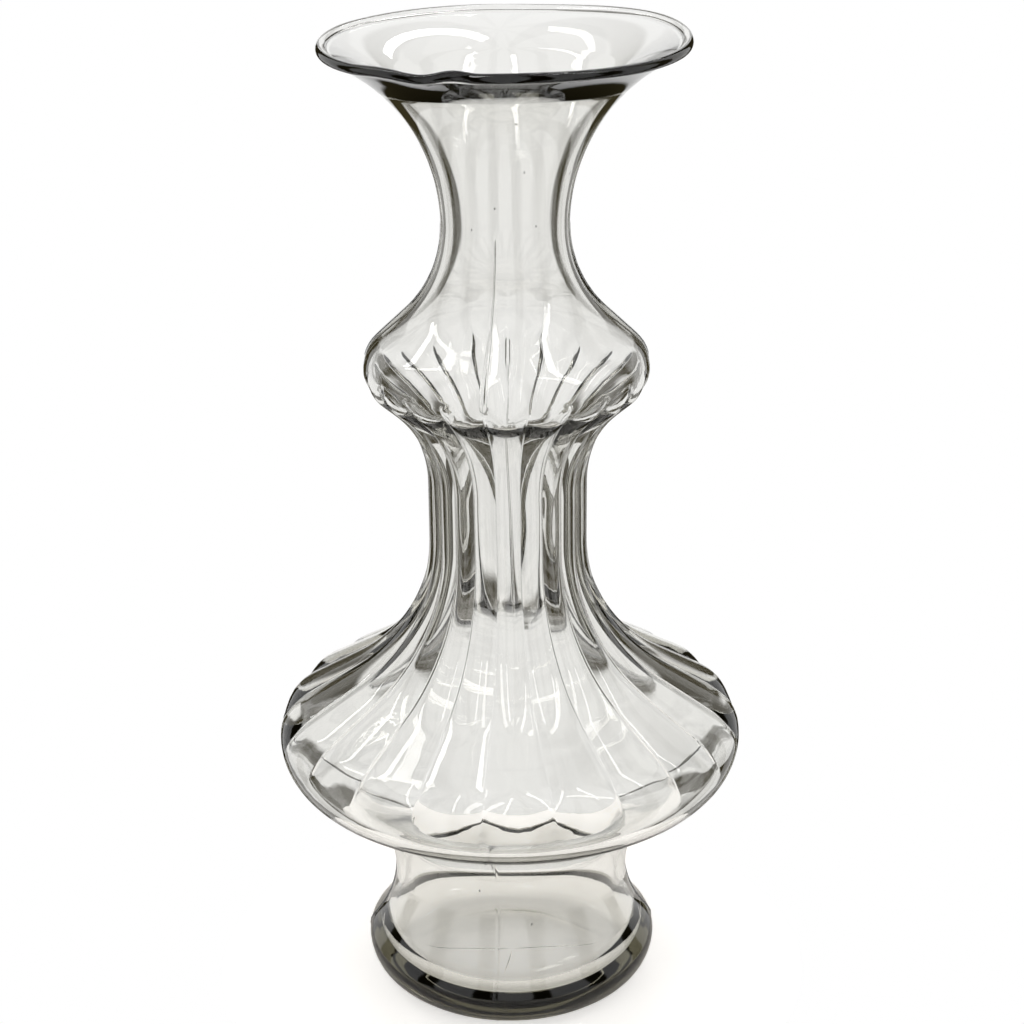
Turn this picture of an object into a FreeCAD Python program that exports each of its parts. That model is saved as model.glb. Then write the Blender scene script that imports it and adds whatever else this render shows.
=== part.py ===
"""Hyacinth forcing vase: one blown, clear glass vessel, drawn as twelve stacked zones.

The vase stands on the XY plane with its axis on Z, all sizes in millimetres.
Its outline is a chain of rings, the places where the glass is narrowest or
widest. Between two rings run a hollow round, a straight and a full round, each
tangent to the next. Flutes run down from the widest ring of the knop, over the
column, to the widest ring of the bulb.
"""
import FreeCAD, Part
import math
import os
import Sketcher

# Driving sizes: lengths in millimetres, shares as parts of one
SIZES = {
    "wall": 4.2,
    # mouth, from the neck's narrowest ring up to the top of the rolled rim
    "mouth_rise": 72.3,
    "rim_radius": 68.8,
    "bead_radius": 1.9,
    # the wall of the mouth swells up to a ring below the rim, and thins from there to the bead
    "swell_width": 8.8,
    "lip_round": 81.5,
    "lip_wall": 2.6,
    # neck, from the knop's widest ring up to the neck's narrowest
    "neck_rise": 57.2,
    "neck_radius": 24.9,
    "neck_hollow_share": 0.692,
    "knop_radius": 56.4,
    "knop_full_share": 0.247,
    # skirt, from the top of the straight column up to the knop's widest ring
    "skirt_rise": 47.2,
    "skirt_hollow_share": 0.768,
    "skirt_full_share": 0.214,
    # column
    "column_straight": 24.6,
    "column_radius": 31.9,
    # bulb shoulder, from the bulb's widest ring up to the foot of the column
    "shoulder_rise": 86.5,
    "shoulder_hollow_share": 0.752,
    "shoulder_full_share": 0.188,
    "bulb_radius": 95.5,
    # bulb underside, from the foot's narrowest ring up to the bulb's widest
    "underside_rise": 64.1,
    "underside_hollow_share": 0.709,
    "underside_full_share": 0.282,
    "waist_radius": 48.9,
    # foot, from the heel's widest ring up to the waist, and how far the heel stands out from the waist
    "foot_rise": 31.8,
    "foot_hollow_share": 0.839,
    "foot_full_share": 0.143,
    "heel_reach": 12.1,
    "heel_height": 16.3,
    # floor inside the foot, the flat ring the vase rests on, and the hollow within the ring
    "floor_height": 10.0,
    "floor_round": 12.0,
    "floor_reach": 7.3,
    "floor_hollow_share": 0.72,
    "floor_full_share": 0.27,
    "rest_width": 5.0,
    "punt_rise": 2.5,
    # flutes: their depth, and the lengths over which they fade
    "flute_depth_share": 0.045,
    "flute_inner_share": 0.6,
    "flute_top_fade": 9.0,
    "flute_low_fade": 9.0,
    # where one zone of the glass hands over to the next, as shares of a rise
    "rim_seam_share": 0.82,
    "mouth_seam_share": 0.25,
    "neck_seam_share": 0.62,
    "skirt_seam_share": 0.41,
    "flare_seam_share": 0.78,
    "shoulder_seam_share": 0.28,
    "underside_seam_share": 0.71,
    "foot_seam_share": 0.24,
}
COUNTS = {
    "flute_count": 21,
    "skirt_section_count": 8,
    "column_section_count": 7,
    "flare_section_count": 8,
    "shoulder_section_count": 8,
}
# Angles in degrees: the first flute at the knop, and how far it has turned at the bulb
ANGLES = {
    "flute_start_angle": -99.2,
    "flute_twist_angle": 2.7,
}
FULL_TURN_ANGLE = 360.0

document = FreeCAD.newDocument("HyacinthVase")
sheet = document.addObject("Spreadsheet::Sheet", "Sizes")
for row, (alias, size) in enumerate({**SIZES, **COUNTS, **ANGLES}.items(), start=1):
    sheet.set(f"A{row}", alias)
    sheet.set(f"B{row}", str(size))
    sheet.setAlias(f"B{row}", alias)
document.recompute()


class Amount:
    """A size together with the sheet formula that gives it."""

    def __init__(self, value, formula):
        self.value = value
        self.formula = formula

    def __add__(self, other):
        return Amount(self.value + other.value, f"({self.formula} + {other.formula})")

    def __sub__(self, other):
        return Amount(self.value - other.value, f"({self.formula} - {other.formula})")

    def __mul__(self, other):
        return Amount(self.value * other.value, f"({self.formula} * {other.formula})")

    def __truediv__(self, other):
        return Amount(self.value / other.value, f"({self.formula} / {other.formula})")

    def halved(self):
        return Amount(self.value / 2, f"({self.formula} / 2)")

    def root(self):
        return Amount(math.sqrt(self.value), f"sqrt({self.formula})")


def amount(alias):
    return Amount(float(SIZES[alias]), f"Sizes.{alias}")


def tangent_round(rise, reach):
    """Radius of the arc that starts upright and ends at this rise and reach."""
    return (rise * rise + reach * reach).halved() / reach


class Ring:
    """A narrowest or widest place of the outline."""

    def __init__(self, height, radius):
        self.height = height
        self.radius = radius


wall = amount("wall")
heel = Ring(amount("heel_height"), amount("waist_radius") + amount("heel_reach"))
waist = Ring(heel.height + amount("foot_rise"), amount("waist_radius"))
bulb = Ring(waist.height + amount("underside_rise"), amount("bulb_radius"))
column_low = Ring(bulb.height + amount("shoulder_rise"), amount("column_radius"))
column_top = Ring(column_low.height + amount("column_straight"), amount("column_radius"))
knop = Ring(column_top.height + amount("skirt_rise"), amount("knop_radius"))
neck = Ring(knop.height + amount("neck_rise"), amount("neck_radius"))
rim_top = neck.height + amount("mouth_rise")


class Round:
    """An arc of the outline whose centre lies level with a ring."""

    def __init__(self, ring, radius, hollow, inset, far_height):
        self.hollow = hollow
        if hollow:
            self.centre_radius = ring.radius + radius
            self.radius = radius + inset
        else:
            self.centre_radius = ring.radius - radius
            self.radius = radius - inset
        self.centre_height = ring.height
        self.ends = sorted((ring.height.value, far_height))

    def radius_at(self, height):
        away = height - self.centre_height.value
        half_width = math.sqrt(max(self.radius.value**2 - away**2, 0.0))
        side = -1 if self.hollow else 1
        return self.centre_radius.value + side * half_width


class Straight:
    """A slanted or upright line of the outline."""

    def __init__(self, low_point, top_point):
        self.low_point = low_point
        self.top_point = top_point
        self.ends = [low_point[1], top_point[1]]

    def radius_at(self, height):
        part = (height - self.ends[0]) / (self.ends[1] - self.ends[0])
        return self.low_point[0] + part * (self.top_point[0] - self.low_point[0])


NO_INSET = Amount(0.0, "0")


def blend(narrow, wide, hollow_share, full_share, inset=NO_INSET):
    """Hollow round, straight and full round between a narrow and a wide ring, listed upwards."""
    rise = wide.height - narrow.height
    reach = wide.radius - narrow.radius
    room = tangent_round(rise, reach)
    hollow_radius = room * amount(hollow_share)
    full_radius = room * amount(full_share)
    both = hollow_radius.value + full_radius.value
    across = reach.value - both
    tangent_length = math.sqrt(rise.value**2 + across**2 - both**2)
    lean = math.atan2(both, tangent_length) + math.atan2(across, abs(rise.value))
    upward = 1 if rise.value > 0 else -1
    hollow_reach = hollow_radius.value + inset.value
    full_reach = full_radius.value - inset.value
    hollow_end = (
        narrow.radius.value + hollow_radius.value - hollow_reach * math.cos(lean),
        narrow.height.value + upward * hollow_reach * math.sin(lean),
    )
    full_end = (
        wide.radius.value - full_radius.value + full_reach * math.cos(lean),
        wide.height.value - upward * full_reach * math.sin(lean),
    )
    hollow_round = Round(narrow, hollow_radius, True, inset, hollow_end[1])
    full_round = Round(wide, full_radius, False, inset, full_end[1])
    if upward > 0:
        return [hollow_round, Straight(hollow_end, full_end), full_round]
    return [full_round, Straight(full_end, hollow_end), hollow_round]


def seam(low_ring, rise, share):
    """Height of a seam between two zones, at a share of a rise."""
    return low_ring.height + amount(rise) * amount(share)


# Outside, the mouth is one long arc from the neck to the bead
bead_height = rim_top - amount("bead_radius")
mouth_middle = tangent_round(
    bead_height - neck.height, amount("rim_radius") - neck.radius + amount("lip_wall").halved()
)
mouth_round = mouth_middle - amount("lip_wall").halved()
# Inside, it is an arc from the neck to the ring where the wall is thickest
rim_seam = seam(neck, "mouth_rise", "rim_seam_share")
swell_rise = rim_seam - neck.height
swell_depth = (mouth_round * mouth_round - swell_rise * swell_rise).root()
swell_radius = neck.radius + mouth_round - swell_depth - amount("swell_width")
inner_neck = Ring(neck.height, neck.radius - wall)
inner_mouth_round = tangent_round(swell_rise, swell_radius - inner_neck.radius)


def glass_outline(inset):
    """Pieces of the outline from the waist of the foot up to the neck, listed upwards."""
    upright = Straight(
        (column_low.radius.value - inset.value, column_low.height.value),
        (column_top.radius.value - inset.value, column_top.height.value),
    )
    return [
        *blend(waist, bulb, "underside_hollow_share", "underside_full_share", inset),
        *blend(column_low, bulb, "shoulder_hollow_share", "shoulder_full_share", inset),
        upright,
        *blend(column_top, knop, "skirt_hollow_share", "skirt_full_share", inset),
        *blend(neck, knop, "neck_hollow_share", "knop_full_share", inset),
    ]


inner_waist = Ring(waist.height, waist.radius - wall)
floor_ring = Ring(
    amount("floor_height") + amount("floor_round"), inner_waist.radius + amount("floor_reach")
)
outer_outline = [
    *blend(waist, heel, "foot_hollow_share", "foot_full_share"),
    *glass_outline(NO_INSET),
    Round(neck, mouth_round, True, NO_INSET, rim_top.value),
]
inner_outline = [
    *blend(inner_waist, floor_ring, "floor_hollow_share", "floor_full_share"),
    *glass_outline(wall),
    Round(inner_neck, inner_mouth_round, True, NO_INSET, rim_seam.value),
]


def radius_at(outline, height):
    """Radius of an outline at a height."""
    for piece in outline:
        if piece.ends[0] <= height <= piece.ends[1]:
            return piece.radius_at(height)
    raise ValueError("the outline does not reach this height")


def body_named(name):
    body = document.addObject("PartDesign::Body", name)
    body.Label = name
    return body


def origin_plane(body, role):
    return next(item for item in body.Origin.OriginFeatures if item.Role == role)


def new_sketch(body, name, role):
    sketch = body.newObject("Sketcher::SketchObject", name)
    sketch.AttachmentSupport = [(origin_plane(body, role), "")]
    sketch.MapMode = "FlatFace"
    return sketch


class Section:
    """A closed section in the upright plane, drawn edge by edge and bound to the sheet."""

    def __init__(self, body):
        self.sketch = new_sketch(body, body.Name + "_section", "XZ_Plane")
        self.edges = []

    def bind(self, kind, *places, size):
        index = self.sketch.addConstraint(Sketcher.Constraint(kind, *places, size.value))
        self.sketch.setExpression(f"Constraints[{index}]", size.formula)

    def set_height(self, geometry, point, height):
        self.bind("DistanceY", -1, 1, geometry, point, size=height)

    def set_radius(self, geometry, point, radius):
        self.bind("DistanceX", -1, 1, geometry, point, size=radius)

    def add_line(self, start, end):
        line = Part.LineSegment(FreeCAD.Vector(*start, 0), FreeCAD.Vector(*end, 0))
        self.edges.append((self.sketch.addGeometry(line), 1, 2))

    def add_round(self, centre_radius, centre_height, radius, start, end):
        """An arc from start to end, the short way about its centre."""
        centre = FreeCAD.Vector(centre_radius.value, centre_height.value, 0)
        angles = [math.atan2(point[1] - centre.y, point[0] - centre.x) for point in (start, end)]
        counterclockwise = math.sin(angles[1] - angles[0]) > 0
        if not counterclockwise:
            angles.reverse()
        circle = Part.Circle(centre, FreeCAD.Vector(0, 0, 1), radius.value)
        geometry = self.sketch.addGeometry(Part.ArcOfCircle(circle, *angles))
        self.edges.append((geometry, 1, 2) if counterclockwise else (geometry, 2, 1))
        self.bind("Radius", geometry, size=radius)
        self.set_radius(geometry, 3, centre_radius)
        self.set_height(geometry, 3, centre_height)

    def join(self, kind="Coincident"):
        """Join the last two edges, end to start."""
        (first, _, first_end), (second, second_start, _) = self.edges[-2:]
        self.sketch.addConstraint(Sketcher.Constraint(kind, first, first_end, second, second_start))

    def level(self, height):
        """Make the last line level at a height."""
        geometry = self.edges[-1][0]
        self.sketch.addConstraint(Sketcher.Constraint("Horizontal", geometry))
        self.set_height(geometry, 1, height)

    def close(self):
        """Join the last edge to the first."""
        first, first_start, _ = self.edges[0]
        last, _, last_end = self.edges[-1]
        self.sketch.addConstraint(Sketcher.Constraint("Coincident", last, last_end, first, first_start))

    def follow(self, outline, start_height, end_height):
        """Draw the outline's pieces between two heights, up or down."""
        low, top = sorted((start_height, end_height))
        pieces = [piece for piece in outline if piece.ends[0] < top and piece.ends[1] > low]
        if start_height > end_height:
            pieces.reverse()
        before = None
        for piece in pieces:
            heights = [min(max(end, low), top) for end in piece.ends]
            if start_height > end_height:
                heights.reverse()
            start, end = [(piece.radius_at(height), height) for height in heights]
            if isinstance(piece, Straight):
                self.add_line(start, end)
            else:
                self.add_round(piece.centre_radius, piece.centre_height, piece.radius, start, end)
            if before is None:
                before = piece
                continue
            if isinstance(piece, Round) and isinstance(before, Round):
                for geometry, point in ((self.edges[-2][0], self.edges[-2][2]), self.edges[-1][:2]):
                    self.set_height(geometry, point, piece.centre_height)
            else:
                self.join("Tangent")
            before = piece

    def revolve(self, body):
        revolution = body.newObject("PartDesign::Revolution", body.Name + "_revolution")
        revolution.Profile = self.sketch
        revolution.ReferenceAxis = (self.sketch, ["V_Axis"])
        revolution.Angle = FULL_TURN_ANGLE
        self.sketch.Visibility = False
        return revolution


def plain_zone(name, low, top):
    """A turned zone of even wall between two level seams."""
    body = body_named(name)
    section = Section(body)
    section.follow(outer_outline, low.value, top.value)
    section.add_line(
        (radius_at(outer_outline, top.value), top.value), (radius_at(inner_outline, top.value), top.value)
    )
    section.join()
    section.level(top)
    inner_start = len(section.edges)
    section.follow(inner_outline, top.value, low.value)
    join_edges(section, inner_start)
    section.add_line(
        (radius_at(inner_outline, low.value), low.value), (radius_at(outer_outline, low.value), low.value)
    )
    section.join()
    section.level(low)
    section.close()
    section.revolve(body)
    return body


def join_edges(section, index):
    """Join the edge at this place to the one before it."""
    before, _, before_end = section.edges[index - 1]
    after, after_start, _ = section.edges[index]
    section.sketch.addConstraint(Sketcher.Constraint("Coincident", before, before_end, after, after_start))


def crossing(centre_a, radius_a, centre_b, radius_b, outward):
    """Where two circles of the section cross, on the side asked for."""
    step = (centre_b[0] - centre_a[0], centre_b[1] - centre_a[1])
    apart = math.hypot(*step)
    along = (apart**2 + radius_a**2 - radius_b**2) / (2 * apart)
    aside = math.sqrt(radius_a**2 - along**2)
    unit = (step[0] / apart, step[1] / apart)
    foot = (centre_a[0] + along * unit[0], centre_a[1] + along * unit[1])
    choices = [(foot[0] - turn * aside * unit[1], foot[1] + turn * aside * unit[0]) for turn in (1, -1)]
    return max(choices) if outward else min(choices)


def rim_zone(low):
    """The lip of the mouth and its rolled bead."""
    body = body_named("rolled_rim")
    section = Section(body)
    centre_radius = neck.radius + mouth_round
    centre = (centre_radius.value, neck.height.value)
    bead_radius = amount("bead_radius")
    bead_centre = (SIZES["rim_radius"], bead_height.value)
    outer_end = crossing(centre, mouth_round.value, bead_centre, bead_radius.value, False)
    bead_start = math.atan2(outer_end[1] - bead_centre[1], outer_end[0] - bead_centre[0])
    bead_end = bead_start - 2 * math.asin(SIZES["lip_wall"] / (2 * bead_radius.value))
    inner_end = (
        bead_centre[0] + bead_radius.value * math.cos(bead_end),
        bead_centre[1] + bead_radius.value * math.sin(bead_end),
    )
    outer_start = (radius_at(outer_outline, low.value), low.value)
    inner_start = (swell_radius.value, low.value)
    section.add_round(centre_radius, neck.height, mouth_round, outer_start, outer_end)
    add_bead(section, bead_radius, bead_centre, bead_start, bead_end)
    section.join()
    add_lip(section, inner_end, inner_start)
    section.join()
    section.add_line(inner_start, outer_start)
    section.join()
    section.level(low)
    section.set_radius(section.edges[-1][0], 1, swell_radius)
    section.close()
    section.revolve(body)
    return body


def add_bead(section, bead_radius, centre, start_angle, end_angle):
    """The long way round the bead, from the outside of the lip to its inside."""
    circle = Part.Circle(FreeCAD.Vector(*centre, 0), FreeCAD.Vector(0, 0, 1), bead_radius.value)
    geometry = section.sketch.addGeometry(Part.ArcOfCircle(circle, start_angle, end_angle))
    section.edges.append((geometry, 1, 2))
    section.bind("Radius", geometry, size=bead_radius)
    section.set_radius(geometry, 3, amount("rim_radius"))
    section.set_height(geometry, 3, bead_height)
    section.bind("Distance", geometry, 1, geometry, 2, size=amount("lip_wall"))


def add_lip(section, top_point, low_point):
    """The inside of the lip, a hollow arc from the bead down to the swell of the wall."""
    lip_round = amount("lip_round")
    across = top_point[0] - low_point[0]
    up = top_point[1] - low_point[1]
    away = math.sqrt(lip_round.value**2 / math.hypot(across, up) ** 2 - 1 / 4)
    centre_radius = (low_point[0] + top_point[0]) / 2 + away * up
    centre_height = (low_point[1] + top_point[1]) / 2 - away * across
    angles = [
        math.atan2(point[1] - centre_height, point[0] - centre_radius) for point in (top_point, low_point)
    ]
    centre = FreeCAD.Vector(centre_radius, centre_height, 0)
    circle = Part.Circle(centre, FreeCAD.Vector(0, 0, 1), lip_round.value)
    geometry = section.sketch.addGeometry(Part.ArcOfCircle(circle, *angles))
    section.edges.append((geometry, 1, 2))
    section.bind("Radius", geometry, size=lip_round)


def base_zone(top):
    """The heel, the thick floor and the shallow hollow under it."""
    body = body_named("foot_base")
    section = Section(body)
    punt_rise = amount("punt_rise")
    floor_flat = floor_ring.radius - amount("floor_round")
    rest_radius = heel.radius - heel.height
    punt_radius = rest_radius - amount("rest_width")
    punt_round = tangent_round(punt_radius, punt_rise)
    section.follow(outer_outline, top.value, heel.height.value)
    heel_start = (heel.radius.value, heel.height.value)
    heel_end = (rest_radius.value, 0.0)
    section.add_round(rest_radius, heel.height, heel.height, heel_start, heel_end)
    for geometry, point in ((section.edges[-2][0], section.edges[-2][2]), section.edges[-1][:2]):
        section.set_height(geometry, point, heel.height)
    section.add_line(heel_end, (punt_radius.value, 0.0))
    section.join("Tangent")
    section.sketch.addConstraint(
        Sketcher.Constraint("PointOnObject", section.edges[-1][0], 2, -1)
    )
    section.set_radius(section.edges[-1][0], 2, punt_radius)
    add_punt(section, punt_radius, punt_rise, punt_round)
    section.join()
    section.add_line((0.0, punt_rise.value), (0.0, SIZES["floor_height"]))
    section.join()
    section.sketch.addConstraint(Sketcher.Constraint("Vertical", section.edges[-1][0]))
    section.add_line((0.0, SIZES["floor_height"]), (floor_flat.value, SIZES["floor_height"]))
    section.join()
    section.sketch.addConstraint(Sketcher.Constraint("Horizontal", section.edges[-1][0]))
    floor_end = (floor_ring.radius.value, floor_ring.height.value)
    section.add_round(
        floor_flat,
        floor_ring.height,
        amount("floor_round"),
        (floor_flat.value, SIZES["floor_height"]),
        floor_end,
    )
    section.join("Tangent")
    section.add_line(floor_end, (radius_at(outer_outline, top.value), top.value))
    section.join()
    section.level(top)
    section.close()
    section.revolve(body)
    return body


def add_punt(section, punt_radius, punt_rise, punt_round):
    """The shallow arc under the base, from the rest ring up to the axis."""
    centre_height = punt_rise.value - punt_round.value
    centre = FreeCAD.Vector(0, centre_height, 0)
    start = math.atan2(-centre_height, punt_radius.value)
    circle = Part.Circle(centre, FreeCAD.Vector(0, 0, 1), punt_round.value)
    geometry = section.sketch.addGeometry(Part.ArcOfCircle(circle, start, math.pi / 2))
    section.edges.append((geometry, 1, 2))
    section.sketch.addConstraint(Sketcher.Constraint("PointOnObject", geometry, 3, -2))
    section.sketch.addConstraint(Sketcher.Constraint("PointOnObject", geometry, 2, -2))
    section.set_height(geometry, 2, punt_rise)


def fade(distance, length):
    """Nothing at an end of the flutes, deepening fast from there, and full after this length."""
    part = min(max(distance / length, 0.0), 1.0)
    return math.sin(part * math.pi / 2)


def flute_depth(height):
    """Depth of the flutes at a height, over the knop's skirt, the column and the shoulder."""
    full_depth = SIZES["flute_depth_share"] * radius_at(outer_outline, height)
    top_part = fade(knop.height.value - height, SIZES["flute_top_fade"])
    low_part = fade(height - bulb.height.value, SIZES["flute_low_fade"])
    return full_depth * top_part * low_part


def flute_angle(height):
    """Turn of the first flute at a height, in degrees."""
    part = (knop.height.value - height) / (knop.height.value - bulb.height.value)
    return ANGLES["flute_start_angle"] + part * ANGLES["flute_twist_angle"]


def fluted_sketch(body, name, height, crest_radius, depth):
    """A ring of even lobes, each an arc from one flute to the next."""
    sketch = new_sketch(body, name, "XY_Plane")
    sketch.AttachmentOffset = FreeCAD.Placement(
        FreeCAD.Vector(0, 0, height.value), FreeCAD.Rotation()
    )
    sketch.setExpression("AttachmentOffset.Base.z", height.formula)
    flute_radius = crest_radius - depth
    pitch = math.radians(FULL_TURN_ANGLE / COUNTS["flute_count"])
    half = pitch / 2
    centre_distance = (crest_radius**2 - flute_radius**2) / (
        2 * (crest_radius - flute_radius * math.cos(half))
    )
    spread = math.atan2(flute_radius * math.sin(half), flute_radius * math.cos(half) - centre_distance)
    first = math.radians(flute_angle(height.value)) + half
    for lobe in range(COUNTS["flute_count"]):
        crest = first + lobe * pitch
        centre = FreeCAD.Vector(centre_distance * math.cos(crest), centre_distance * math.sin(crest), 0)
        circle = Part.Circle(centre, FreeCAD.Vector(0, 0, 1), crest_radius - centre_distance)
        sketch.addGeometry(Part.ArcOfCircle(circle, crest - spread, crest + spread))
    sketch.Visibility = False
    return sketch


def level_heights(low, top, count):
    """Heights from low to top, so placed that the outline between them has even steps."""
    fine_count = 200
    fine = [low.value + (top.value - low.value) * step / fine_count for step in range(fine_count + 1)]
    lengths = [0.0]
    for before, after in zip(fine, fine[1:]):
        run = radius_at(outer_outline, after) - radius_at(outer_outline, before)
        lengths.append(lengths[-1] + math.hypot(after - before, run))
    parts = []
    for index in range(count):
        wanted = lengths[-1] * index / (count - 1)
        nearest = min(range(len(fine)), key=lambda place: abs(lengths[place] - wanted))
        parts.append(Amount(nearest / fine_count, f"({nearest} / {fine_count})"))
    return [low + (top - low) * part for part in parts]


def fluted_zone(name, low, top, sections):
    """A lofted zone of lobes, with a shallower set of lobes on its inside."""
    body = body_named(name)
    heights = level_heights(low, top, sections)
    for kind, outline, depth_share, prefix in (
        ("PartDesign::AdditiveLoft", outer_outline, 1.0, "outer"),
        ("PartDesign::SubtractiveLoft", inner_outline, SIZES["flute_inner_share"], "inner"),
    ):
        sketches = []
        for index, height in enumerate(heights):
            crest_radius = radius_at(outline, height.value)
            depth = depth_share * flute_depth(height.value)
            sketch_name = f"{name}_{prefix}_{index}"
            sketches.append(fluted_sketch(body, sketch_name, height, crest_radius, depth))
        document.recompute()
        loft = body.newObject(kind, f"{name}_{prefix}_loft")
        loft.Profile = sketches[0]
        loft.Sections = sketches[1:]
        loft.Ruled = False
        document.recompute()
    return body


mouth_seam = seam(neck, "mouth_rise", "mouth_seam_share")
neck_seam = seam(knop, "neck_rise", "neck_seam_share")
skirt_seam = seam(column_top, "skirt_rise", "skirt_seam_share")
flare_seam = seam(bulb, "shoulder_rise", "flare_seam_share")
shoulder_seam = seam(bulb, "shoulder_rise", "shoulder_seam_share")
underside_seam = seam(waist, "underside_rise", "underside_seam_share")
foot_seam = seam(waist, "underside_rise", "foot_seam_share")

zones = [
    rim_zone(rim_seam),
    plain_zone("mouth", mouth_seam, rim_seam),
    plain_zone("neck", neck_seam, mouth_seam),
    plain_zone("knop_shoulder", knop.height, neck_seam),
    fluted_zone("knop_skirt", skirt_seam, knop.height, COUNTS["skirt_section_count"]),
    fluted_zone("fluted_column", flare_seam, skirt_seam, COUNTS["column_section_count"]),
    fluted_zone("bulb_flare", shoulder_seam, flare_seam, COUNTS["flare_section_count"]),
    fluted_zone("bulb_shoulder", bulb.height, shoulder_seam, COUNTS["shoulder_section_count"]),
    plain_zone("bulb_underside", underside_seam, bulb.height),
    plain_zone("foot_flare", foot_seam, underside_seam),
    plain_zone("foot_wall", floor_ring.height, foot_seam),
    base_zone(floor_ring.height),
]
document.recompute()

for item in document.Objects:
    if "Invalid" in item.State or "Error" in item.State:
        raise RuntimeError(f"{item.Label} failed: {item.State}")
for zone in zones:
    if zone.Shape.isNull() or not zone.Shape.isValid():
        raise RuntimeError(f"{zone.Label} has no valid shape")

os.makedirs("parts", exist_ok=True)
for zone in zones:
    zone.Shape.exportStep(f"parts/{zone.Label}.step")
    box = zone.Shape.optimalBoundingBox(False, False)
    print(
        f"{zone.Label}: volume {zone.Shape.Volume:.0f} mm3, solids {len(zone.Shape.Solids)},"
        f" height {box.ZMin:.2f} to {box.ZMax:.2f}, width {box.XLength:.2f}"
    )
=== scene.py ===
"""Hyacinth forcing vase: one vessel of blown clear glass on a pale floor.

The glass is turned as a narrow gore, from a section drawn point by point as on a lathe. The
gore gets the groove between two lobes, is copied round the axis and joined into one closed
skin, and then takes the slight twist and the unevenness of hand-blown glass.
"""
import math
import bpy
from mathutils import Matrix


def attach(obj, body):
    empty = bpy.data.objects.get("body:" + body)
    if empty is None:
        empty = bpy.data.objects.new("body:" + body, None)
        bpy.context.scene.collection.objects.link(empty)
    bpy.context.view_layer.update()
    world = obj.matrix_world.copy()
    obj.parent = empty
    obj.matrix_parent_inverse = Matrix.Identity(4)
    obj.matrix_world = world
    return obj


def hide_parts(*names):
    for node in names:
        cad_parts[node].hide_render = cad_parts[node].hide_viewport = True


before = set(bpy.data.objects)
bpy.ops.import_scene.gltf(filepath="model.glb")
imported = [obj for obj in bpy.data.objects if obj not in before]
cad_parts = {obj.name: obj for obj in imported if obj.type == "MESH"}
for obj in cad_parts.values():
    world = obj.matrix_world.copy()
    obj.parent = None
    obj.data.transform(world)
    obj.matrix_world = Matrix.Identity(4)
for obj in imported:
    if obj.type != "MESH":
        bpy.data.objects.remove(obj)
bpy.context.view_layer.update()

MM = 0.001
FULL_TURN = 2 * math.pi
QUARTER_TURN = math.pi / 2

# Sizes of the vessel, the same as in the part's source
WALL = 4.2 * MM
COLUMN_WALL = 4.6 * MM
KNOP_WALL = 3.1 * MM
LIP_WALL = 2.6 * MM
LIP_ROUND = 81.5 * MM
SWELL_WIDTH = 8.8 * MM
NECK_RADIUS = 24.9 * MM
KNOP_RADIUS = 56.4 * MM
COLUMN_RADIUS = 31.9 * MM
BULB_RADIUS = 95.5 * MM
WAIST_RADIUS = 48.9 * MM
HEEL_RADIUS = 61.0 * MM
HEEL_HEIGHT = 16.3 * MM
WAIST_HEIGHT = HEEL_HEIGHT + 31.8 * MM
BULB_HEIGHT = WAIST_HEIGHT + 64.1 * MM
COLUMN_FOOT = BULB_HEIGHT + 86.5 * MM
COLUMN_TOP = COLUMN_FOOT + 24.6 * MM
KNOP_HEIGHT = COLUMN_TOP + 47.2 * MM
NECK_HEIGHT = KNOP_HEIGHT + 57.2 * MM
RIM_TOP = NECK_HEIGHT + 72.3 * MM
RIM_RADIUS = 68.8 * MM
BEAD_RADIUS = 1.9 * MM
BEAD_HEIGHT = RIM_TOP - BEAD_RADIUS
SWELL_SHARE = 0.82
SWELL_HEIGHT = NECK_HEIGHT + SWELL_SHARE * (RIM_TOP - NECK_HEIGHT)
REST_RADIUS = HEEL_RADIUS - HEEL_HEIGHT
REST_WIDTH = 5.0 * MM
PUNT_RADIUS = REST_RADIUS - REST_WIDTH
PUNT_RISE = 2.5 * MM
FLOOR_HEIGHT = 10.0 * MM
FLOOR_ROUND = 12.0 * MM
FLOOR_RADIUS = 52.0 * MM

# Largest share of the room between two rings that the two rounds of a flank take
ROUNDS_SHARE = 0.99

# The flutes, which fade out at the knop and at the bulb and are deepest in a scallop under the knop
FLUTES = 21
FLUTE_DEPTH = 0.045
FLUTE_INNER = 0.62
KNOP_FADE = 9.0 * MM
BULB_FADE = 14.0 * MM
FLUTE_TURN = math.radians(-99.2)
FLUTE_TWIST = math.radians(-2.7)
PITCH = FULL_TURN / FLUTES
SCALLOP_HEIGHT = KNOP_HEIGHT - 9 * MM
SCALLOP_REACH = 7 * MM
SCALLOP_BOOST = 0.7

# Places of the columns of faces across one flute, as shares of its width
GORE_COLUMNS = (0.025, 0.09, 0.20, 0.34, 0.50, 0.66, 0.80, 0.91, 0.975, 1.0)
MERGE_DISTANCE = 0.01 * MM
NEARLY_NOTHING = MM * MM

# The mould's fine seams, along the edges of three of the flutes' gores
SEAM_GORES = (0, 6, 16)
SEAM_RISE = 0.35 * MM
SEAM_HALF_WIDTH = 0.01 * PITCH

# Soft waves in the outer and in the inner skin: size and strength
OUTER_WAVES = (45 * MM, 0.25 * MM)
INNER_WAVES = (40 * MM, 0.30 * MM)

# Seeds, the tiny bubbles: turn in degrees, then height, depth and radius in millimetres
SEED_STRETCH = 1.8
FAR_OUT = 0.2
SEEDS = (
    (-84, 377, 1.6, 0.35),
    (-99, 341, 1.8, 0.3),
    (-61, 333, 2.0, 0.3),
    (-30, 352, 1.7, 0.35),
    (70, 345, 2.0, 0.35),
    (130, 322, 1.8, 0.3),
    (-105, 62, 2.0, 0.4),
    (-80, 45, 1.8, 0.35),
    (20, 55, 2.0, 0.4),
    (110, 40, 2.2, 0.4),
)

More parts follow.
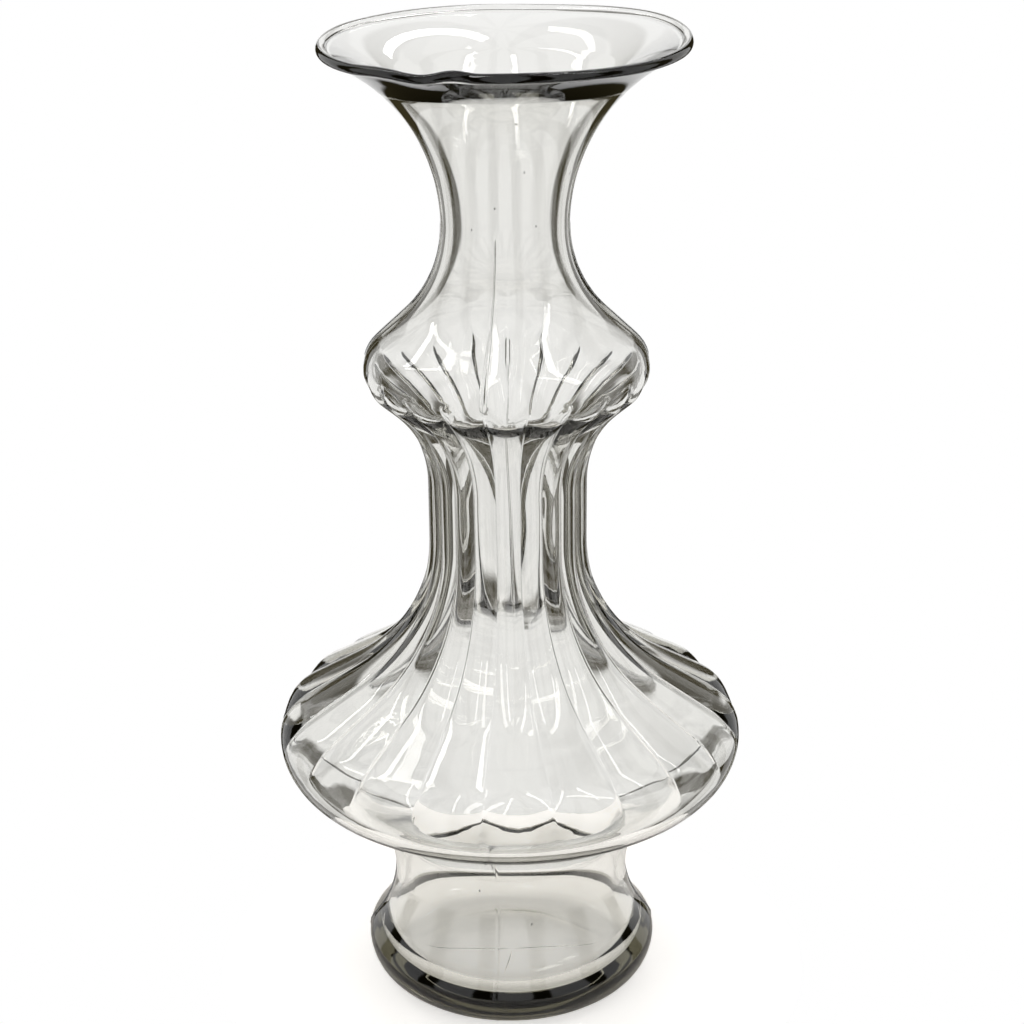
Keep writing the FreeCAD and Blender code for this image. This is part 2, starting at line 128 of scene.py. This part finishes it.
# Pulls on the rim: turn in degrees, and outward move, upward move and size in millimetres
RIM_PULLS = (
    (35, 2.4, 1.6, 60),
    (200, -0.4, -1.2, 60),
    (275, 0.0, 0.8, 60),
    (-106, -0.5, 1.0, 10),
    (-116, 0.3, -0.9, 12),
    (-131, -0.3, 0.5, 14),
)

# Length of one step along the section
STEP = 2.6 * MM
FINE_STEP = 0.9 * MM

# The glass
GLASS_IOR = 1.5
GLASS_TINT = (0.70, 0.69, 0.635, 1)
TINT_DENSITY = 70

# The round table, and how much it is lifted towards white for the camera and through the glass
TABLE_RADIUS = 0.125
TABLE_CORNERS = 96
TABLE_COLOUR = (0.86, 0.83, 0.80, 1)
TABLE_ROUGHNESS = 0.9
CAMERA_LIFT = 0.5
GLASS_LIFT = 0.56

# The white room and the dark screens that the glass sees, evenly spaced round the vessel
SCREENS = 8
SCREEN_EDGE = (-0.72, -0.36)
SCREEN_SPREAD = 0.6
OVERHEAD_EDGE = (0.6, 0.98)
OVERHEAD_LEVEL = 0.35
SCREEN_COLOUR = (0.045, 0.038, 0.018, 1)
ROOM_COLOUR = (0.97, 0.97, 0.965, 1)
WHITE = (1, 1, 1, 1)

# The tall lamps: angles in degrees, lengths in metres, power in watts
LAMP_COUNT = 4
LAMP_START = -112
LAMP_RISE = 56
LAMP_DISTANCE = 1.4
LAMP_SIZE = (0.085, 1.0)
LAMP_POWER = 2.0
LAMP_AIM = 0.2

# The camera: place in metres, how far it looks down from level and rolls in degrees, lens in millimetres
CAMERA_PLACE = (0, -0.9, 0.57425)
CAMERA_DIP = 22.107
CAMERA_ROLL = -0.515
CAMERA_SENSOR = 36
CAMERA_LENS = 84.69
CAMERA_SHIFT = 0.0041
CAMERA_NEAR = 0.01


def deselect_all():
    for item in bpy.context.selected_objects:
        item.select_set(False)


def take(piece):
    """Make this piece the only one selected, and the active one."""
    deselect_all()
    piece.select_set(True)
    bpy.context.view_layer.objects.active = piece


def apply_modifier(piece, modifier):
    take(piece)
    bpy.ops.object.modifier_apply(modifier=modifier.name)


def tangent_round(rise, reach):
    """Radius of the arc that starts upright and ends at this rise and reach."""
    return (rise * rise + reach * reach) / (2 * reach)


def draw_arc(centre_radius, centre_height, arc_radius, angle, step=STEP):
    """Draw the section on along an arc, anticlockwise where the angle is positive."""
    bpy.ops.mesh.spin(
        steps=max(2, math.ceil(abs(angle) * arc_radius / step)),
        angle=angle,
        center=(centre_radius, 0, centre_height),
        axis=(0, 1, 0),
    )


def draw_line(across, up, step=STEP):
    """Draw the section on along a straight."""
    pieces = max(1, math.ceil(math.hypot(across, up) / step))
    for _ in range(pieces):
        bpy.ops.mesh.extrude_vertices_move(
            TRANSFORM_OT_translate={"value": (across / pieces, 0, up / pieces)}
        )


class Flank:
    """Hollow round, straight and full round between a narrow and a wide ring of the vessel."""

    def __init__(self, narrow, wide, hollow, full):
        self.narrow_radius, self.narrow_height = narrow
        self.wide_radius, self.wide_height = wide
        self.hollow = hollow
        self.full = full
        rise = abs(self.wide_height - self.narrow_height)
        reach = self.wide_radius - self.narrow_radius
        both = hollow + full
        self.straight = math.sqrt(rise**2 + (reach - both) ** 2 - both**2)
        self.lean = math.atan2(both, self.straight) + math.atan2(reach - both, rise)

    def draw_hollow(self, way):
        draw_arc(self.narrow_radius + self.hollow, self.narrow_height, self.hollow, -way * self.lean)

    def draw_full(self, way):
        draw_arc(self.wide_radius - self.full, self.wide_height, self.full, way * self.lean)

    def draw(self, way):
        """Draw the flank upwards (way 1) or downwards (way -1)."""
        outwards = way if self.wide_height > self.narrow_height else -way
        across = outwards * self.straight * math.sin(self.lean)
        up = way * self.straight * math.cos(self.lean)
        if outwards > 0:
            self.draw_hollow(way)
            draw_line(across, up)
            self.draw_full(way)
        else:
            self.draw_full(way)
            draw_line(across, up)
            self.draw_hollow(way)

    def inside(self, narrow_wall, wide_wall):
        """The flank of the inner skin, this deep inside at the narrow and at the wide ring."""
        narrow = (self.narrow_radius - narrow_wall, self.narrow_height)
        wide = (self.wide_radius - wide_wall, self.wide_height)
        full = self.full - wide_wall
        room = ROUNDS_SHARE * tangent_round(abs(wide[1] - narrow[1]), wide[0] - narrow[0])
        return Flank(narrow, wide, min(self.hollow + narrow_wall, room - full), full)


def flank_between(narrow, wide, hollow_share, full_share):
    """A flank whose rounds are shares of the largest round that has room."""
    room = tangent_round(abs(wide[1] - narrow[1]), wide[0] - narrow[0])
    return Flank(narrow, wide, room * hollow_share, room * full_share)


WAIST = (WAIST_RADIUS, WAIST_HEIGHT)
BULB = (BULB_RADIUS, BULB_HEIGHT)
KNOP = (KNOP_RADIUS, KNOP_HEIGHT)
HEEL = (HEEL_RADIUS, HEEL_HEIGHT)
INNER_WAIST = (WAIST_RADIUS - WALL, WAIST_HEIGHT)
FLOOR_RING = (FLOOR_RADIUS, FLOOR_HEIGHT + FLOOR_ROUND)
FOOT_FLANK = flank_between(WAIST, HEEL, hollow_share=0.839, full_share=0.143)
UNDERSIDE = flank_between(WAIST, BULB, hollow_share=0.709, full_share=0.282)
SHOULDER = flank_between((COLUMN_RADIUS, COLUMN_FOOT), BULB, hollow_share=0.752, full_share=0.188)
SKIRT = flank_between((COLUMN_RADIUS, COLUMN_TOP), KNOP, hollow_share=0.768, full_share=0.214)
NECK_FLANK = flank_between((NECK_RADIUS, NECK_HEIGHT), KNOP, hollow_share=0.692, full_share=0.247)
INNER_FOOT = flank_between(INNER_WAIST, FLOOR_RING, hollow_share=0.72, full_share=0.27)


def bead_joint(centre_radius, arc_radius):
    """Angle on the mouth's outer arc, and angle on the bead, where the two meet."""
    step_across = RIM_RADIUS - centre_radius
    step_up = BEAD_HEIGHT - NECK_HEIGHT
    apart = math.hypot(step_across, step_up)
    heading = math.atan2(step_up, step_across)
    at_mouth = math.acos((apart**2 + arc_radius**2 - BEAD_RADIUS**2) / (2 * apart * arc_radius))
    on_mouth = heading + at_mouth
    meet_radius = centre_radius + arc_radius * math.cos(on_mouth)
    meet_height = NECK_HEIGHT + arc_radius * math.sin(on_mouth)
    on_bead = math.atan2(meet_height - BEAD_HEIGHT, meet_radius - RIM_RADIUS)
    return on_mouth, on_bead


def arc_centre(low, top, radius):
    """Centre of the mouth's arc of this radius from a low point to a top point."""
    across = top[0] - low[0]
    up = top[1] - low[1]
    length = math.hypot(across, up)
    away = math.sqrt(radius**2 - (length / 2) ** 2) / length
    return (low[0] + top[0]) / 2 + away * up, (low[1] + top[1]) / 2 - away * across


def draw_mouth_and_inside():
    """Draw the outside of the mouth, the bead and the whole inner skin down to the floor."""
    mouth_middle = tangent_round(BEAD_HEIGHT - NECK_HEIGHT, RIM_RADIUS - NECK_RADIUS + LIP_WALL / 2)
    outer_round = mouth_middle - LIP_WALL / 2
    centre = NECK_RADIUS + outer_round
    outer_stop, bead_start = bead_joint(centre, outer_round)
    draw_arc(centre, NECK_HEIGHT, outer_round, outer_stop - math.pi)
    bead_stop = bead_start - 2 * math.asin(LIP_WALL / (2 * BEAD_RADIUS))
    draw_arc(RIM_RADIUS, BEAD_HEIGHT, BEAD_RADIUS, bead_stop - bead_start + FULL_TURN, FINE_STEP)
    lip_top = (
        RIM_RADIUS + BEAD_RADIUS * math.cos(bead_stop),
        BEAD_HEIGHT + BEAD_RADIUS * math.sin(bead_stop),
    )
    inner_rise = SWELL_HEIGHT - NECK_HEIGHT
    swell_radius = centre - math.sqrt(outer_round**2 - inner_rise**2) - SWELL_WIDTH
    lip_centre = arc_centre((swell_radius, SWELL_HEIGHT), lip_top, LIP_ROUND)
    lip_start = math.atan2(lip_top[1] - lip_centre[1], lip_top[0] - lip_centre[0])
    lip_stop = math.atan2(SWELL_HEIGHT - lip_centre[1], swell_radius - lip_centre[0])
    draw_arc(*lip_centre, LIP_ROUND, lip_stop - lip_start, FINE_STEP)
    inner_round = tangent_round(inner_rise, swell_radius - NECK_RADIUS + WALL)
    inner_centre = NECK_RADIUS - WALL + inner_round
    draw_arc(inner_centre, NECK_HEIGHT, inner_round, math.asin(inner_rise / inner_round))
    NECK_FLANK.inside(WALL, KNOP_WALL).draw(-1)
    SKIRT.inside(COLUMN_WALL, KNOP_WALL).draw(-1)
    draw_line(0, COLUMN_FOOT - COLUMN_TOP)
    SHOULDER.inside(COLUMN_WALL, WALL).draw(-1)
    UNDERSIDE.inside(WALL, WALL).draw(-1)
    INNER_FOOT.draw(-1)
    draw_arc(FLOOR_RADIUS - FLOOR_ROUND, FLOOR_HEIGHT + FLOOR_ROUND, FLOOR_ROUND, -QUARTER_TURN)
    draw_line(FLOOR_ROUND - FLOOR_RADIUS, 0, 2 * STEP)


def draw_section():
    """Draw the half section of the glass, from under the base round to the floor inside."""
    bpy.ops.mesh.primitive_plane_add(size=MM, location=(0, 0, PUNT_RISE))
    section = bpy.context.active_object
    bpy.ops.object.transform_apply(location=True, rotation=True, scale=True)
    bpy.ops.object.mode_set(mode="EDIT")
    bpy.ops.mesh.select_all(action="SELECT")
    bpy.ops.mesh.merge(type="CENTER")
    punt_round = tangent_round(PUNT_RADIUS, PUNT_RISE)
    draw_arc(0, PUNT_RISE - punt_round, punt_round, -math.asin(PUNT_RADIUS / punt_round), 2 * STEP)
    draw_line(REST_RADIUS - PUNT_RADIUS, 0)
    draw_arc(REST_RADIUS, HEEL_HEIGHT, HEEL_HEIGHT, QUARTER_TURN)
    FOOT_FLANK.draw(1)
    UNDERSIDE.draw(1)
    SHOULDER.draw(1)
    draw_line(0, COLUMN_TOP - COLUMN_FOOT)
    SKIRT.draw(1)
    NECK_FLANK.draw(1)
    bpy.ops.object.mode_set(mode="OBJECT")
    outside_points = len(section.data.vertices)
    bpy.ops.object.mode_set(mode="EDIT")
    draw_mouth_and_inside()
    bpy.ops.object.mode_set(mode="OBJECT")
    outside = section.vertex_groups.new(name="outside")
    inside = section.vertex_groups.new(name="inside")
    for point in section.data.vertices:
        if point.index >= outside_points:
            inside.add([point.index], 1, "REPLACE")
        elif point.co.z > MM:
            outside.add([point.index], 1, "REPLACE")
    return section


def groove_depth(share, depth):
    """How far towards the axis a lobed ring lies below its crest, as a share of its radius."""
    valley = 1 - depth
    half = PITCH / 2
    centre = (1 - valley**2) / (2 * (1 - valley * math.cos(half)))
    away = (share - 0.5) * PITCH
    lobe = centre * math.cos(away) + math.sqrt((1 - centre) ** 2 - (centre * math.sin(away)) ** 2)
    return 1 - lobe


def flute_strength(height):
    """How fully the flutes are formed at a height, from nothing to one."""
    from_knop = min(max((KNOP_HEIGHT - height) / KNOP_FADE, 0), 1)
    from_bulb = min(max((height - BULB_HEIGHT) / BULB_FADE, 0), 1)
    under_knop = math.exp(-(((height - SCALLOP_HEIGHT) / SCALLOP_REACH) ** 2))
    fullness = math.sin(from_knop * QUARTER_TURN) * math.sin(from_bulb * QUARTER_TURN) ** 2
    return fullness * (1 + SCALLOP_BOOST * under_knop)


def press_groove(gore):
    """Press half a groove into each edge of the gore, deep outside and softer inside."""
    groove = gore.vertex_groups.new(name="groove")
    inside = gore.vertex_groups["inside"].index
    for vertex in gore.data.vertices:
        depth = FLUTE_DEPTH * flute_strength(vertex.co.z)
        if any(entry.group == inside for entry in vertex.groups):
            depth *= FLUTE_INNER
        if depth <= 0 or math.hypot(vertex.co.x, vertex.co.y) < MM:
            continue
        share = math.atan2(vertex.co.y, vertex.co.x) / PITCH
        groove.add([vertex.index], groove_depth(share, depth), "REPLACE")
    cast = gore.modifiers.new("groove", "CAST")
    cast.cast_type = "CYLINDER"
    cast.use_z = False
    cast.use_radius_as_size = False
    cast.factor = 1
    cast.size = NEARLY_NOTHING
    cast.vertex_group = groove.name
    apply_modifier(gore, cast)


def turn_gore(section):
    """Turn the section through one flute, in steps that are close together beside the grooves."""
    take(section)
    bpy.ops.object.mode_set(mode="EDIT")
    bpy.ops.mesh.select_all(action="SELECT")
    before = 0.0
    for share in GORE_COLUMNS:
        bpy.ops.mesh.spin(
            steps=1,
            angle=(share - before) * PITCH,
            center=(0, 0, 0),
            axis=(0, 0, -1),
            use_auto_merge=False,
        )
        before = share
    bpy.ops.object.mode_set(mode="OBJECT")


def copy_round(gore):
    """Copy the gore round the axis and join the copies into one closed skin."""
    take(gore)
    bpy.ops.object.mode_set(mode="EDIT")
    bpy.ops.mesh.select_all(action="SELECT")
    bpy.ops.mesh.spin(
        steps=FLUTES - 1,
        angle=FULL_TURN - PITCH,
        dupli=True,
        center=(0, 0, 0),
        axis=(0, 0, -1),
    )
    bpy.ops.mesh.select_all(action="SELECT")
    bpy.ops.mesh.remove_doubles(threshold=MERGE_DISTANCE)
    bpy.ops.mesh.normals_make_consistent(inside=False)
    bpy.ops.object.mode_set(mode="OBJECT")


def warp_rim(vessel):
    """Pull the rim out of true, let it sag a little, and pinch it where it was rolled over."""
    take(vessel)
    for turn, across, up, size in RIM_PULLS:
        forwards = math.cos(math.radians(turn))
        sideways = math.sin(math.radians(turn))
        shift = (across * MM * forwards, across * MM * sideways, up * MM)
        target = (RIM_RADIUS * forwards, RIM_RADIUS * sideways, RIM_TOP)
        bpy.ops.object.mode_set(mode="EDIT")
        bpy.ops.mesh.select_all(action="DESELECT")
        bpy.ops.object.mode_set(mode="OBJECT")
        nearest = min(vessel.data.vertices, key=lambda vertex: math.dist(vertex.co, target))
        nearest.select = True
        bpy.ops.object.mode_set(mode="EDIT")
        bpy.ops.transform.translate(
            value=shift,
            use_proportional_edit=True,
            proportional_edit_falloff="SMOOTH",
            proportional_size=size * MM,
        )
        bpy.ops.object.mode_set(mode="OBJECT")


def twist_flutes(vessel):
    """Give the flutes their slight turn between the bulb and the knop."""
    twist = vessel.modifiers.new("twist", "SIMPLE_DEFORM")
    twist.deform_method = "TWIST"
    twist.deform_axis = "Z"
    twist.angle = FLUTE_TWIST
    twist.limits = (BULB_HEIGHT / RIM_TOP, KNOP_HEIGHT / RIM_TOP)
    apply_modifier(vessel, twist)
    knop_turn = FLUTE_TWIST * KNOP_HEIGHT / (KNOP_HEIGHT - BULB_HEIGHT)
    vessel.rotation_euler.z = FLUTE_TURN - knop_turn
    take(vessel)
    bpy.ops.object.transform_apply(location=True, rotation=True, scale=True)


def raise_seams(vessel):
    """Raise the fine seams that the mould left on the plain parts, along three edges of gores."""
    seams = vessel.vertex_groups.new(name="seams")
    outside = vessel.vertex_groups["outside"].index
    low_turn = FLUTE_TURN - FLUTE_TWIST
    for vertex in vessel.data.vertices:
        if not any(entry.group == outside for entry in vertex.groups):
            continue
        if BULB_HEIGHT - STEP < vertex.co.z < KNOP_HEIGHT + STEP or vertex.co.z < MM:
            continue
        start = low_turn if vertex.co.z < BULB_HEIGHT else FLUTE_TURN
        turn = math.atan2(vertex.co.y, vertex.co.x)
        for gore in SEAM_GORES:
            away = math.remainder(turn - start - gore * PITCH, FULL_TURN)
            if abs(away) < SEAM_HALF_WIDTH:
                seams.add([vertex.index], 1, "REPLACE")
    ridge = vessel.modifiers.new("seams", "DISPLACE")
    ridge.mid_level = 0
    ridge.strength = SEAM_RISE
    ridge.vertex_group = seams.name
    apply_modifier(vessel, ridge)


def add_seeds(vessel):
    """Put a few tiny closed bubbles into the wall of the neck and the foot."""
    seeds = []
    for turn, height, depth, size in SEEDS:
        angle = math.radians(turn)
        away = skin_distance(vessel, angle, height * MM) - depth * MM
        bpy.ops.mesh.primitive_ico_sphere_add(
            subdivisions=2,
            radius=size * MM,
            location=(away * math.cos(angle), away * math.sin(angle), height * MM),
        )
        seed = bpy.context.active_object
        bpy.ops.object.mode_set(mode="EDIT")
        bpy.ops.mesh.select_all(action="SELECT")
        bpy.ops.transform.resize(value=(1, 1, SEED_STRETCH))
        bpy.ops.mesh.flip_normals()
        bpy.ops.object.mode_set(mode="OBJECT")
        seeds.append(seed)
    take(vessel)
    for seed in seeds:
        seed.select_set(True)
    bpy.ops.object.join()


def skin_distance(vessel, turn, height):
    """Distance of the outer skin from the axis, at a turn and a height."""
    start = (FAR_OUT * math.cos(turn), FAR_OUT * math.sin(turn), height)
    hit, place, _, _ = vessel.ray_cast(start, (-math.cos(turn), -math.sin(turn), 0))
    return math.hypot(place.x, place.y) if hit else 0.0


def unevenness(vessel, name, group, size, strength):
    """Move one skin of the glass in and out by a soft random amount."""
    cloud = bpy.data.textures.new(name, "CLOUDS")
    cloud.noise_scale = size
    cloud.noise_depth = 1
    wave = vessel.modifiers.new(name, "DISPLACE")
    wave.texture = cloud
    wave.texture_coords = "LOCAL"
    wave.mid_level = 0.5
    wave.strength = strength
    wave.vertex_group = group
    apply_modifier(vessel, wave)


def blow_vessel():
    """Make the whole vessel, from the section to the bubbles."""
    deselect_all()
    vessel = draw_section()
    vessel.name = "glass_vessel"
    turn_gore(vessel)
    press_groove(vessel)
    copy_round(vessel)
    twist_flutes(vessel)
    warp_rim(vessel)
    raise_seams(vessel)
    unevenness(vessel, "outer waves", "outside", *OUTER_WAVES)
    unevenness(vessel, "inner waves", "inside", *INNER_WAVES)
    add_seeds(vessel)
    take(vessel)
    bpy.ops.object.shade_smooth()
    return vessel


def clear_glass():
    """Clear glass with a faint grey-olive tint that gathers where the light runs far in it."""
    material = bpy.data.materials.new("clear olive glass")
    material.use_nodes = True
    nodes = material.node_tree.nodes
    links = material.node_tree.links
    shader = nodes["Principled BSDF"]
    shader.inputs["Base Color"].default_value = WHITE
    shader.inputs["Roughness"].default_value = 0
    shader.inputs["IOR"].default_value = GLASS_IOR
    shader.inputs["Transmission Weight"].default_value = 1
    tint = nodes.new("ShaderNodeVolumeAbsorption")
    tint.inputs["Color"].default_value = GLASS_TINT
    tint.inputs["Density"].default_value = TINT_DENSITY
    links.new(tint.outputs["Volume"], nodes["Material Output"].inputs["Volume"])
    return material


def pale_floor():
    """A plain pale table that stays white to the camera and keeps the vessel's shadow."""
    bpy.ops.mesh.primitive_circle_add(
        vertices=TABLE_CORNERS, radius=TABLE_RADIUS, fill_type="NGON", location=(0, 0, 0)
    )
    floor = bpy.context.active_object
    floor.name = "pale_floor"
    material = bpy.data.materials.new("pale floor")
    material.use_nodes = True
    nodes = material.node_tree.nodes
    links = material.node_tree.links
    shader = nodes["Principled BSDF"]
    shader.inputs["Base Color"].default_value = TABLE_COLOUR
    shader.inputs["Roughness"].default_value = TABLE_ROUGHNESS
    shader.inputs["Specular IOR Level"].default_value = 0
    shader.inputs["Emission Color"].default_value = WHITE
    path = nodes.new("ShaderNodeLightPath")
    lift = nodes.new("ShaderNodeMath")
    lift.operation = "MULTIPLY_ADD"
    lift.inputs[1].default_value = CAMERA_LIFT
    links.new(path.outputs["Is Camera Ray"], lift.inputs[0])
    in_glass = nodes.new("ShaderNodeMath")
    in_glass.operation = "MULTIPLY"
    in_glass.inputs[1].default_value = GLASS_LIFT
    links.new(path.outputs["Is Transmission Ray"], in_glass.inputs[0])
    links.new(in_glass.outputs[0], lift.inputs[2])
    links.new(lift.outputs[0], shader.inputs["Emission Strength"])
    floor.data.materials.append(material)
    return floor


def node_maker(nodes, links):
    """A helper that adds a math node fed by values or by other nodes' outputs."""

    def add(operation, *feeds):
        node = nodes.new("ShaderNodeMath")
        node.operation = operation
        for place, feed in enumerate(feeds):
            if isinstance(feed, (int, float)):
                node.inputs[place].default_value = feed
            else:
                links.new(feed, node.inputs[place])
        return node.outputs["Value"]

    return add


def soft_step(nodes, links, value, low, high):
    """Nothing below the low value, one above the high value, and a soft passage between."""
    node = nodes.new("ShaderNodeMapRange")
    node.interpolation_type = "SMOOTHSTEP"
    node.inputs["From Min"].default_value = low
    node.inputs["From Max"].default_value = high
    links.new(value, node.inputs["Value"])
    return node.outputs["Result"]


def studio_world():
    """White to the camera; to the glass a white room with dark screens standing all round."""
    world = bpy.data.worlds.new("white studio")
    bpy.context.scene.world = world
    world.use_nodes = True
    nodes = world.node_tree.nodes
    links = world.node_tree.links
    add = node_maker(nodes, links)
    background = nodes["Background"]
    background.inputs["Strength"].default_value = 1
    place = nodes.new("ShaderNodeTexCoord")
    parts = nodes.new("ShaderNodeSeparateXYZ")
    links.new(place.outputs["Generated"], parts.inputs["Vector"])
    turn = add("ARCTAN2", parts.outputs["X"], parts.outputs["Y"])
    wave = add("COSINE", add("MULTIPLY", turn, SCREENS))
    downward = add("MINIMUM", parts.outputs["Z"], 0)
    gaps = add("MULTIPLY_ADD", downward, SCREEN_SPREAD, wave)
    light_gap = soft_step(nodes, links, gaps, *SCREEN_EDGE)
    overhead = soft_step(nodes, links, parts.outputs["Z"], *OVERHEAD_EDGE)
    level = add("MAXIMUM", light_gap, add("MULTIPLY", overhead, OVERHEAD_LEVEL))
    shade = nodes.new("ShaderNodeMix")
    shade.data_type = "RGBA"
    shade.inputs["A"].default_value = SCREEN_COLOUR
    shade.inputs["B"].default_value = ROOM_COLOUR
    links.new(level, shade.inputs["Factor"])
    links.new(shade.outputs["Result"], background.inputs["Color"])
    path = nodes.new("ShaderNodeLightPath")
    white = nodes.new("ShaderNodeBackground")
    white.inputs["Color"].default_value = WHITE
    white.inputs["Strength"].default_value = 1
    mix = nodes.new("ShaderNodeMixShader")
    links.new(path.outputs["Is Camera Ray"], mix.inputs["Fac"])
    links.new(background.outputs["Background"], mix.inputs[1])
    links.new(white.outputs["Background"], mix.inputs[2])
    links.new(mix.outputs["Shader"], nodes["World Output"].inputs["Surface"])


def hang_lamp(name, turn, height_angle, distance, size, power):
    """Hang a rectangular lamp that faces the vessel, at a turn from the right and an angle up."""
    data = bpy.data.lights.new(name, "AREA")
    data.shape = "RECTANGLE"
    data.size, data.size_y = size
    data.energy = power
    lamp = bpy.data.objects.new(name, data)
    bpy.context.scene.collection.objects.link(lamp)
    away = distance * math.cos(height_angle)
    lamp.location = (
        away * math.cos(turn),
        away * math.sin(turn),
        LAMP_AIM + distance * math.sin(height_angle),
    )
    lamp.rotation_euler = (QUARTER_TURN - height_angle, 0, turn + QUARTER_TURN)


def studio_lamps():
    """Hang tall narrow lamps round the vessel, as windows would light it."""
    for side in range(LAMP_COUNT):
        turn = math.radians(LAMP_START) + side * FULL_TURN / LAMP_COUNT
        rise = math.radians(LAMP_RISE)
        hang_lamp(f"tall window {side}", turn, rise, LAMP_DISTANCE, LAMP_SIZE, LAMP_POWER)


def photo_camera():
    """The camera of the photograph: near, above the vessel and looking down at it."""
    data = bpy.data.cameras.new("photo camera")
    data.sensor_width = CAMERA_SENSOR
    data.lens = CAMERA_LENS
    data.shift_x = CAMERA_SHIFT
    data.clip_start = CAMERA_NEAR
    camera = bpy.data.objects.new("photo camera", data)
    bpy.context.scene.collection.objects.link(camera)
    camera.location = CAMERA_PLACE
    camera.rotation_euler = (math.radians(90 - CAMERA_DIP), 0, 0)
    bpy.context.view_layer.update()
    camera.rotation_euler.rotate_axis("Z", math.radians(CAMERA_ROLL))
    bpy.context.scene.camera = camera


vessel = blow_vessel()
vessel.data.materials.append(clear_glass())
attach(vessel, "root")
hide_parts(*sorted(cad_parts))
pale_floor()
studio_world()
studio_lamps()
photo_camera()
bpy.context.scene.view_settings.view_transform = "Standard"
